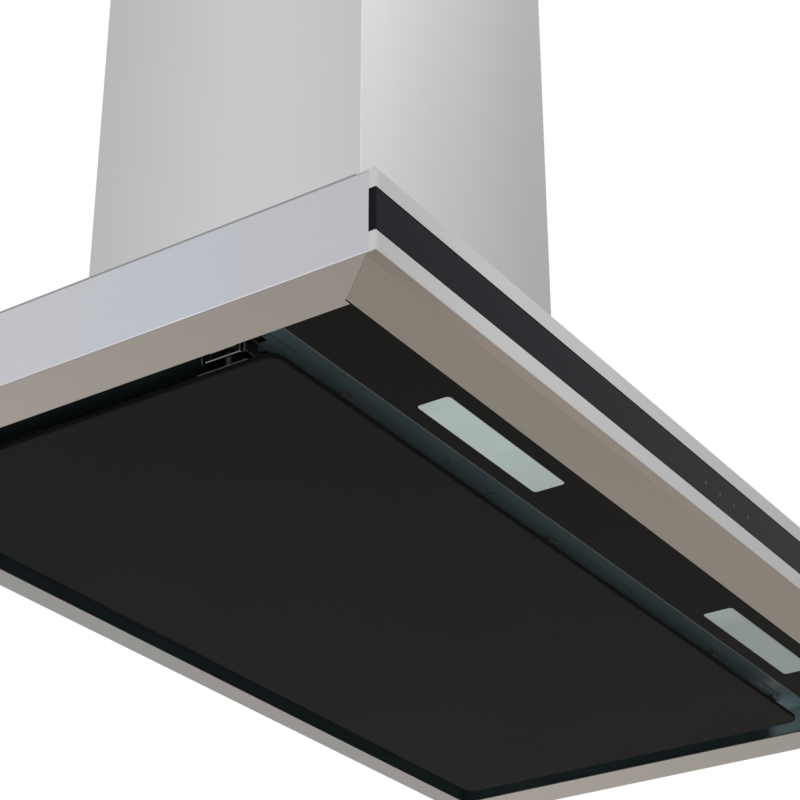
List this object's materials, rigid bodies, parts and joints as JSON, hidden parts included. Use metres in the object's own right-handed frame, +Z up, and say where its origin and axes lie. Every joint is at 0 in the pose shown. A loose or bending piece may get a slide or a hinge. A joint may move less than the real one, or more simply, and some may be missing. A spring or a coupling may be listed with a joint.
{
  "type": "wall mount range hood",
  "caption": "Slim wall mount range hood with perimeter suction, glass touch strip, two lamps, roller catches and a telescopic flue cover over its blower.",
  "frame": {"origin": "centre of the four wall fixing holes in the back of the blower chassis, on the wall plane", "axes": "+Z up, +X to the right seen from the front, +Y into the wall, so the front faces -Y"},
  "size_m": [0.9, 0.5, 0.718],
  "materials": {
    "stainless": "brushed along the length, bright",
    "black_glass": "opaque black, polished",
    "black_paint": "matt black powder coat",
    "liner_enamel": "glossy dark enamel",
    "lens": "frosted",
    "galvanised": "galvanised, matt",
    "filter_aluminium": "anodised",
    "bright_steel": "bright zinc plated",
    "dark_plastic": "fine moulded",
    "grey_plastic": "fine moulded",
    "motor_steel": "satin black",
    "bush_rubber": "matt",
    "circuit_board": "solder mask",
    "capacitor_case": "smooth"
  },
  "bodies": {
    "canopy": {"canopy_top": "stainless", "side_panel_left": "stainless", "side_panel_right": "stainless", "rear_panel": "stainless", "fascia": "stainless", "front_rail": "stainless", "corner_gussets": "galvanised", "glass_strip": "black_glass", "touch_board": "circuit_board", "touch_board_cover": "dark_plastic", "light_panel": "black_paint", "lamp_lenses": "lens", "lamp_housings": "grey_plastic", "lamp_boards": "circuit_board", "led_driver": "grey_plastic", "liner": "liner_enamel", "filter_frame_1": "liner_enamel", "filter_frame_2": "liner_enamel", "filter_frame_3": "liner_enamel", "filter_mesh_1": "filter_aluminium", "filter_mesh_2": "filter_aluminium", "filter_mesh_3": "filter_aluminium", "hinge_brackets": "bright_steel", "hinge_pins": "bright_steel", "catch_bodies": "bright_steel", "chassis": "galvanised", "chassis_cover": "galvanised", "scroll_half_left": "dark_plastic", "scroll_half_right": "dark_plastic", "motor": "motor_steel", "motor_bracket": "galvanised", "motor_bushes": "bush_rubber", "capacitor": "capacitor_case", "capacitor_clip": "galvanised", "outlet_collar": "dark_plastic", "control_box": "grey_plastic", "control_board": "circuit_board", "control_box_lid": "grey_plastic", "cable_gland": "dark_plastic", "lower_flue": "stainless"},
    "perimeter_panel": {"perimeter_panel": "black_paint", "hinge_knuckles": "bright_steel", "catch_strikes": "bright_steel"},
    "fan": {"impeller": "grey_plastic", "motor_shaft": "bright_steel"},
    "damper_front": {"damper_flap_front": "grey_plastic"},
    "damper_rear": {"damper_flap_rear": "grey_plastic"},
    "upper_flue": {"upper_flue": "stainless", "ceiling_bracket": "galvanised"},
    "filter_latch_1": {"filter_latch_1": "bright_steel"},
    "filter_latch_2": {"filter_latch_2": "bright_steel"},
    "filter_latch_3": {"filter_latch_3": "bright_steel"},
    "catch_slider_left_front": {"catch_slider_left_front": "bright_steel"},
    "catch_slider_left_rear": {"catch_slider_left_rear": "bright_steel"},
    "catch_slider_right_front": {"catch_slider_right_front": "bright_steel"},
    "catch_slider_right_rear": {"catch_slider_right_rear": "bright_steel"}
  },
  "joints": [
    {"name": "panel_hinge", "type": "hinge", "parent": "canopy", "child": "perimeter_panel", "pos_m": [0, -0.048, -0.172], "axis": [1, 0, 0], "range_deg": [0, 90]},
    {"name": "fan_spin", "type": "hinge", "parent": "canopy", "child": "fan", "pos_m": [0, -0.11377, -0.007], "axis": [1, 0, 0], "continuous": true},
    {"name": "damper_front_swing", "type": "hinge", "parent": "canopy", "child": "damper_front", "pos_m": [0, -0.124, 0.1405], "axis": [-1, 0, 0], "range_deg": [0, 80]},
    {"name": "damper_rear_swing", "type": "hinge", "parent": "canopy", "child": "damper_rear", "pos_m": [0, -0.116, 0.1405], "axis": [1, 0, 0], "range_deg": [0, 80]},
    {"name": "upper_flue_slide", "type": "slide", "parent": "canopy", "child": "upper_flue", "axis": [0, 0, 1], "range_m": [0, 0.5]},
    {"name": "filter_latch_1_slide", "type": "slide", "parent": "canopy", "child": "filter_latch_1", "axis": [0, 1, 0], "range_m": [0, 0.006], "stiffness_N_per_m": 300, "springref_m": -0.004},
    {"name": "filter_latch_2_slide", "type": "slide", "parent": "canopy", "child": "filter_latch_2", "axis": [0, 1, 0], "range_m": [0, 0.006], "stiffness_N_per_m": 300, "springref_m": -0.004},
    {"name": "filter_latch_3_slide", "type": "slide", "parent": "canopy", "child": "filter_latch_3", "axis": [0, 1, 0], "range_m": [0, 0.006], "stiffness_N_per_m": 300, "springref_m": -0.004},
    {"name": "catch_slider_left_front_slide", "type": "slide", "parent": "canopy", "child": "catch_slider_left_front", "axis": [0, -1, 0], "range_m": [0, 0.003], "stiffness_N_per_m": 600, "springref_m": -0.003},
    {"name": "catch_slider_left_rear_slide", "type": "slide", "parent": "canopy", "child": "catch_slider_left_rear", "axis": [0, 1, 0], "range_m": [0, 0.003], "stiffness_N_per_m": 600, "springref_m": -0.003},
    {"name": "catch_slider_right_front_slide", "type": "slide", "parent": "canopy", "child": "catch_slider_right_front", "axis": [0, -1, 0], "range_m": [0, 0.003], "stiffness_N_per_m": 600, "springref_m": -0.003},
    {"name": "catch_slider_right_rear_slide", "type": "slide", "parent": "canopy", "child": "catch_slider_right_rear", "axis": [0, 1, 0], "range_m": [0, 0.003], "stiffness_N_per_m": 600, "springref_m": -0.003}
  ]
}
